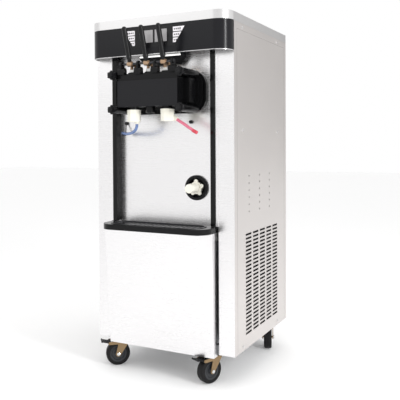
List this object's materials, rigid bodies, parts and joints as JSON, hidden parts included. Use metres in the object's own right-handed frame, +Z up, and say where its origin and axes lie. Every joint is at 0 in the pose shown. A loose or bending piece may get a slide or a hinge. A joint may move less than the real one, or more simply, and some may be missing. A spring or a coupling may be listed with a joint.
{
  "type": "soft serve ice cream maker",
  "caption": "Floor-standing soft-serve ice cream maker with draw handles, lift-off hopper lid, drip tray, keypad and swivel casters.",
  "frame": {"origin": "middle of the machine on the floor, under the centre of its bounding box", "axes": "+Z up, -Y towards the front with the draw handles, +X to the right seen from the front"},
  "size_m": [0.5436, 0.6644, 1.231],
  "materials": {
    "steel_panel": "brushed stainless sheet",
    "steel_bright": "fine brushed stainless, bright",
    "steel_tray": "satin stainless",
    "frame_paint": "satin grey paint",
    "black_gloss": "gloss black",
    "fascia_black": "semi-gloss charcoal",
    "black_matte": "matte black",
    "plate_grey": "smooth dark grey",
    "white_plastic": "white acetal",
    "ivory_plastic": "ivory",
    "key_white": "satin white",
    "pin_steel": "polished",
    "zinc_yellow": "yellow zinc plate",
    "wheel_rubber": "matte black",
    "hose_blue": "translucent blue",
    "hose_pink": "translucent pink",
    "cast_grey": "cast, painted",
    "unit_grey": "fins and painted can"
  },
  "bodies": {
    "cabinet": {"frame": "frame_paint", "left_side_panel": "steel_panel", "right_side_panel": "steel_panel", "rear_panel": "steel_panel", "front_pillars": "steel_bright", "guide_strips": "black_gloss", "centre_panel": "steel_bright", "lower_panel": "steel_bright", "top_surround": "steel_bright", "hoppers": "steel_tray", "fascia": "fascia_black", "control_overlay": "black_gloss", "lamp_housing": "black_matte", "dispensing_head": "black_gloss", "face_plate": "plate_grey", "lever_shaft": "pin_steel", "spout_fittings": "ivory_plastic", "left_hose": "hose_blue", "right_hose": "hose_pink", "hose_hooks": "black_matte", "leak_bezel": "black_gloss", "drip_rail": "black_gloss", "freezing_cylinders": "steel_tray", "beater_gearmotors": "cast_grey", "condensing_unit": "unit_grey", "panel_screws": "pin_steel", "cord_gland": "black_matte"},
    "hopper_lid": {"hopper_lid": "steel_bright"},
    "key_left_top": {"key_left_top": "key_white"},
    "key_left_middle": {"key_left_middle": "key_white"},
    "key_left_bottom": {"key_left_bottom": "key_white"},
    "key_right_top": {"key_right_top": "key_white"},
    "key_right_middle": {"key_right_middle": "key_white"},
    "key_right_bottom": {"key_right_bottom": "key_white"},
    "star_knob_upper_left": {"star_knob_upper_left": "black_matte"},
    "star_knob_upper_right": {"star_knob_upper_right": "black_matte"},
    "star_knob_lower_left": {"star_knob_lower_left": "black_matte"},
    "star_knob_lower_right": {"star_knob_lower_right": "black_matte"},
    "left_plunger": {"left_plunger": "white_plastic"},
    "middle_plunger": {"middle_plunger": "white_plastic"},
    "right_plunger": {"right_plunger": "white_plastic"},
    "left_handle": {"left_handle": "black_gloss"},
    "middle_handle": {"middle_handle": "black_gloss"},
    "right_handle": {"right_handle": "black_gloss"},
    "leak_drawer": {"leak_drawer": "ivory_plastic"},
    "drip_tray": {"drip_tray": "steel_tray"},
    "drip_grid": {"drip_grid": "black_matte"},
    "front_left_fork": {"front_left_fork": "zinc_yellow"},
    "front_right_fork": {"front_right_fork": "zinc_yellow"},
    "rear_left_fork": {"rear_left_fork": "zinc_yellow"},
    "rear_right_fork": {"rear_right_fork": "zinc_yellow"},
    "front_left_wheel": {"front_left_wheel": "wheel_rubber"},
    "front_right_wheel": {"front_right_wheel": "wheel_rubber"},
    "rear_left_wheel": {"rear_left_wheel": "wheel_rubber"},
    "rear_right_wheel": {"rear_right_wheel": "wheel_rubber"},
    "left_brake_pedal": {"left_brake_pedal": "black_matte"},
    "right_brake_pedal": {"right_brake_pedal": "black_matte"},
    "left_beater": {"left_beater": "white_plastic"},
    "right_beater": {"right_beater": "white_plastic"},
    "condenser_fan": {"condenser_fan": "steel_tray"}
  },
  "joints": [
    {"name": "lid_lift", "type": "slide", "parent": "cabinet", "child": "hopper_lid", "axis": [0, 0, 1], "range_m": [0, 0.25]},
    {"name": "key_left_top_press", "type": "slide", "parent": "cabinet", "child": "key_left_top", "axis": [0, 1, 0], "range_m": [0, 0.0012], "stiffness_N_per_m": 400},
    {"name": "key_left_middle_press", "type": "slide", "parent": "cabinet", "child": "key_left_middle", "axis": [0, 1, 0], "range_m": [0, 0.0012], "stiffness_N_per_m": 400},
    {"name": "key_left_bottom_press", "type": "slide", "parent": "cabinet", "child": "key_left_bottom", "axis": [0, 1, 0], "range_m": [0, 0.0012], "stiffness_N_per_m": 400},
    {"name": "key_right_top_press", "type": "slide", "parent": "cabinet", "child": "key_right_top", "axis": [0, 1, 0], "range_m": [0, 0.0012], "stiffness_N_per_m": 400},
    {"name": "key_right_middle_press", "type": "slide", "parent": "cabinet", "child": "key_right_middle", "axis": [0, 1, 0], "range_m": [0, 0.0012], "stiffness_N_per_m": 400},
    {"name": "key_right_bottom_press", "type": "slide", "parent": "cabinet", "child": "key_right_bottom", "axis": [0, 1, 0], "range_m": [0, 0.0012], "stiffness_N_per_m": 400},
    {"name": "star_knob_upper_left_turn", "type": "hinge", "parent": "cabinet", "child": "star_knob_upper_left", "pos_m": [-0.13, -0.30179, 1.034], "axis": [0, 1, 0], "continuous": true},
    {"name": "star_knob_upper_right_turn", "type": "hinge", "parent": "cabinet", "child": "star_knob_upper_right", "pos_m": [0.13, -0.30179, 1.034], "axis": [0, 1, 0], "continuous": true},
    {"name": "star_knob_lower_left_turn", "type": "hinge", "parent": "cabinet", "child": "star_knob_lower_left", "pos_m": [-0.13, -0.30179, 0.918], "axis": [0, 1, 0], "continuous": true},
    {"name": "star_knob_lower_right_turn", "type": "hinge", "parent": "cabinet", "child": "star_knob_lower_right", "pos_m": [0.13, -0.30179, 0.918], "axis": [0, 1, 0], "continuous": true},
    {"name": "left_handle_pull", "type": "hinge", "parent": "cabinet", "child": "left_handle", "pos_m": [-0.065, -0.28979, 1.069], "axis": [1, 0, 0], "range_deg": [0, 35]},
    {"name": "left_plunger_lift", "type": "slide", "parent": "cabinet", "child": "left_plunger", "axis": [0, 0, 1], "range_m": [0, 0.0148]},
    {"name": "middle_handle_pull", "type": "hinge", "parent": "cabinet", "child": "middle_handle", "pos_m": [0, -0.28979, 1.069], "axis": [1, 0, 0], "range_deg": [0, 35]},
    {"name": "middle_plunger_lift", "type": "slide", "parent": "cabinet", "child": "middle_plunger", "axis": [0, 0, 1], "range_m": [0, 0.0148]},
    {"name": "right_handle_pull", "type": "hinge", "parent": "cabinet", "child": "right_handle", "pos_m": [0.065, -0.28979, 1.069], "axis": [1, 0, 0], "range_deg": [0, 35]},
    {"name": "right_plunger_lift", "type": "slide", "parent": "cabinet", "child": "right_plunger", "axis": [0, 0, 1], "range_m": [0, 0.0148]},
    {"name": "leak_drawer_pull", "type": "slide", "parent": "cabinet", "child": "leak_drawer", "axis": [0, -1, 0], "range_m": [0, 0.15]},
    {"name": "tray_lift", "type": "slide", "parent": "cabinet", "child": "drip_tray", "axis": [0, 0, 1], "range_m": [0, 0.06]},
    {"name": "grid_lift", "type": "slide", "parent": "drip_tray", "child": "drip_grid", "axis": [0, 0, 1], "range_m": [0, 0.04]},
    {"name": "front_left_swivel", "type": "hinge", "parent": "cabinet", "child": "front_left_fork", "pos_m": [-0.182, -0.15179, 0.095], "axis": [0, 0, 1], "continuous": true},
    {"name": "front_left_wheel_spin", "type": "hinge", "parent": "front_left_fork", "child": "front_left_wheel", "pos_m": [-0.20498, -0.17108, 0.043], "axis": [0.6428, -0.766, 0], "continuous": true},
    {"name": "left_brake_press", "type": "hinge", "parent": "front_left_fork", "child": "left_brake_pedal", "pos_m": [-0.22873, -0.191, 0.083], "axis": [0.6428, -0.766, 0], "range_deg": [0, 16]},
    {"name": "front_right_swivel", "type": "hinge", "parent": "cabinet", "child": "front_right_fork", "pos_m": [0.182, -0.15179, 0.095], "axis": [0, 0, 1], "continuous": true},
    {"name": "front_right_wheel_spin", "type": "hinge", "parent": "front_right_fork", "child": "front_right_wheel", "pos_m": [0.16932, -0.17898, 0.043], "axis": [0.9063, -0.4226, 0], "continuous": true},
    {"name": "right_brake_press", "type": "hinge", "parent": "front_right_fork", "child": "right_brake_pedal", "pos_m": [0.15622, -0.20708, 0.083], "axis": [0.9063, -0.4226, 0], "range_deg": [0, 16]},
    {"name": "rear_left_swivel", "type": "hinge", "parent": "cabinet", "child": "rear_left_fork", "pos_m": [-0.212, 0.26521, 0.095], "axis": [0, 0, 1], "continuous": true},
    {"name": "rear_left_wheel_spin", "type": "hinge", "parent": "rear_left_fork", "child": "rear_left_wheel", "pos_m": [-0.20576, 0.23586, 0.043], "axis": [0.9781, 0.2079, 0], "continuous": true},
    {"name": "rear_right_swivel", "type": "hinge", "parent": "cabinet", "child": "rear_right_fork", "pos_m": [0.212, 0.26521, 0.095], "axis": [0, 0, 1], "continuous": true},
    {"name": "rear_right_wheel_spin", "type": "hinge", "parent": "rear_right_fork", "child": "rear_right_wheel", "pos_m": [0.22226, 0.23702, 0.043], "axis": [0.9397, 0.342, 0], "continuous": true},
    {"name": "left_beater_spin", "type": "hinge", "parent": "cabinet", "child": "left_beater", "pos_m": [-0.065, -0.01179, 0.975], "axis": [0, 1, 0], "continuous": true},
    {"name": "right_beater_spin", "type": "hinge", "parent": "cabinet", "child": "right_beater", "pos_m": [0.065, -0.01179, 0.975], "axis": [0, 1, 0], "continuous": true},
    {"name": "fan_spin", "type": "hinge", "parent": "cabinet", "child": "condenser_fan", "pos_m": [0.148, 0.06921, 0.313], "axis": [1, 0, 0], "continuous": true}
  ],
  "couplings": [
    {"joint": "left_plunger_lift", "follows": "left_handle_pull", "m_per_rad": 0.023901},
    {"joint": "middle_plunger_lift", "follows": "middle_handle_pull", "m_per_rad": 0.023901},
    {"joint": "right_plunger_lift", "follows": "right_handle_pull", "m_per_rad": 0.023901}
  ]
}
